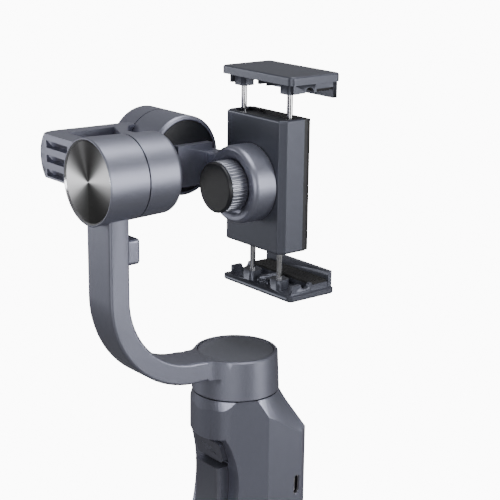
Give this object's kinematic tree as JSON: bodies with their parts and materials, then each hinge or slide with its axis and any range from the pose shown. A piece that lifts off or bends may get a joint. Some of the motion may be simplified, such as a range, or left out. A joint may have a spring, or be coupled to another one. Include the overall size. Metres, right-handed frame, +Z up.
{
  "type": "camera gimbal",
  "caption": "Handheld motorised gimbal for a phone: grip with controls, curved pan arm, side roll arm, tilt arm and a spring clamp on polished rods.",
  "frame": {"origin": "centre of the tripod thread's mouth in the grip's foot, on the pan axis", "axes": "+Z up along the pan axis, +Y from the roll motor toward the phone, +X along the phone's long side"},
  "size_m": [0.0752, 0.1019, 0.2901],
  "materials": {
    "black_plastic": "fine spark texture",
    "board": "solder-masked board",
    "brass": "turned",
    "button_plastic": "satin moulded",
    "cast_alloy": "as machined",
    "chrome": "polished",
    "clamp_paint": "satin dark grey metallic paint",
    "copper": "enamelled copper wire",
    "disc_inlay": "fine satin",
    "grip_paint": "satin metallic grey paint on a moulded shell",
    "knob_grey": "knurled, satin",
    "laminated_steel": "laminated sheet edges",
    "magnet": "nickel plated",
    "panel_black": "semi gloss moulded",
    "polished_ring": "polished bevel",
    "rubber": "matte moulded rubber",
    "satin_alloy": "satin metallic grey, fine blasted",
    "spun_disc": "concentric spun finish",
    "steel": "ground"
  },
  "bodies": {
    "handle": {"handle_shell": "grip_paint", "front_panel": "panel_black", "base_cap": "grip_paint", "tripod_insert": "brass", "pan_motor_base": "cast_alloy", "battery_cell": "steel", "battery_cradle": "black_plastic", "main_board": "board", "usb_socket": "steel", "trigger_pin": "steel", "joystick_mount": "black_plastic", "pan_stator_core": "laminated_steel", "pan_windings": "copper", "pan_bearings": "steel"},
    "function_button": {"function_button": "button_plastic"},
    "trigger": {"trigger": "button_plastic"},
    "shutter_button": {"shutter_button": "button_plastic"},
    "mode_button": {"mode_button": "button_plastic"},
    "joystick_cradle": {"joystick_cradle": "black_plastic", "joystick_pin": "steel"},
    "joystick_cap": {"joystick_cap": "rubber"},
    "pan_arm": {"pan_arm": "satin_alloy", "pan_cap_disc": "disc_inlay", "pan_magnets": "magnet", "pan_shaft": "steel", "arm_stop_block": "grip_paint", "roll_cap_ring": "polished_ring", "roll_cap_disc": "spun_disc", "roll_stator_core": "laminated_steel", "roll_windings": "copper", "roll_bearings": "steel"},
    "roll_arm": {"roll_rotor_housing": "satin_alloy", "roll_arm": "satin_alloy", "roll_magnets": "magnet", "roll_shaft": "steel", "tilt_cap_disc": "disc_inlay", "tilt_stator_core": "laminated_steel", "tilt_windings": "copper", "tilt_bearings": "steel"},
    "tilt_arm": {"tilt_rotor_housing": "satin_alloy", "tilt_end_disc": "black_plastic", "tilt_arm": "satin_alloy", "tilt_magnets": "magnet", "tilt_shaft": "steel"},
    "clamp": {"clamp_body": "clamp_paint", "clamp_back_plate": "black_plastic", "clamp_screws": "steel", "clamp_pad": "rubber", "pivot_stud": "steel", "upper_springs": "steel", "lower_springs": "steel"},
    "knob": {"clamp_knob": "knob_grey", "knob_cap": "black_plastic"},
    "upper_jaw": {"upper_jaw": "clamp_paint", "upper_rods": "chrome", "upper_pad": "rubber"},
    "lower_jaw": {"lower_jaw": "clamp_paint", "lower_rods": "chrome", "lower_pad": "rubber"}
  },
  "joints": [
    {"name": "pan", "type": "hinge", "parent": "handle", "child": "pan_arm", "pos_m": [0, 0, 0.165], "axis": [0, 0, 1], "range_deg": [-160, 160]},
    {"name": "roll", "type": "hinge", "parent": "pan_arm", "child": "roll_arm", "pos_m": [0, -0.045, 0.2543], "axis": [0, 1, 0], "range_deg": [-35, 100]},
    {"name": "tilt", "type": "hinge", "parent": "roll_arm", "child": "tilt_arm", "pos_m": [-0.034, -0.0126, 0.2543], "axis": [1, 0, 0], "range_deg": [-30, 45]},
    {"name": "clamp_swivel", "type": "hinge", "parent": "tilt_arm", "child": "clamp", "pos_m": [0.0041, 0, 0.2455], "axis": [0, 1, 0], "range_deg": [-90, 90]},
    {"name": "knob_turn", "type": "hinge", "parent": "clamp", "child": "knob", "pos_m": [0.0041, -0.01, 0.2455], "axis": [0, 1, 0], "range_deg": [-180, 180]},
    {"name": "upper_jaw_slide", "type": "slide", "parent": "clamp", "child": "upper_jaw", "axis": [0, 0, 1], "range_m": [-0.006, 0.006], "stiffness_N_per_m": 400, "deforming": ["upper_springs"]},
    {"name": "lower_jaw_slide", "type": "slide", "parent": "clamp", "child": "lower_jaw", "axis": [0, 0, -1], "range_m": [-0.006, 0.006], "stiffness_N_per_m": 400, "deforming": ["lower_springs"]},
    {"name": "function_press", "type": "slide", "parent": "handle", "child": "function_button", "axis": [0, 1, 0], "range_m": [0, 0.0008], "stiffness_N_per_m": 600},
    {"name": "trigger_pull", "type": "hinge", "parent": "handle", "child": "trigger", "pos_m": [0, -0.0062, 0.1226], "axis": [1, 0, 0], "range_deg": [0, 5], "stiffness_Nm_per_rad": 0.2},
    {"name": "shutter_press", "type": "slide", "parent": "handle", "child": "shutter_button", "axis": [0, -1, 0], "range_m": [0, 0.0008], "stiffness_N_per_m": 600},
    {"name": "mode_press", "type": "slide", "parent": "handle", "child": "mode_button", "axis": [0, -1, 0], "range_m": [0, 0.0008], "stiffness_N_per_m": 600},
    {"name": "stick_pitch", "type": "hinge", "parent": "handle", "child": "joystick_cradle", "pos_m": [0, 0.0171, 0.118], "axis": [1, 0, 0], "range_deg": [-10, 10], "stiffness_Nm_per_rad": 0.02},
    {"name": "stick_yaw", "type": "hinge", "parent": "joystick_cradle", "child": "joystick_cap", "pos_m": [0, 0.0171, 0.118], "axis": [0, 0, 1], "range_deg": [-10, 10], "stiffness_Nm_per_rad": 0.02}
  ]
}
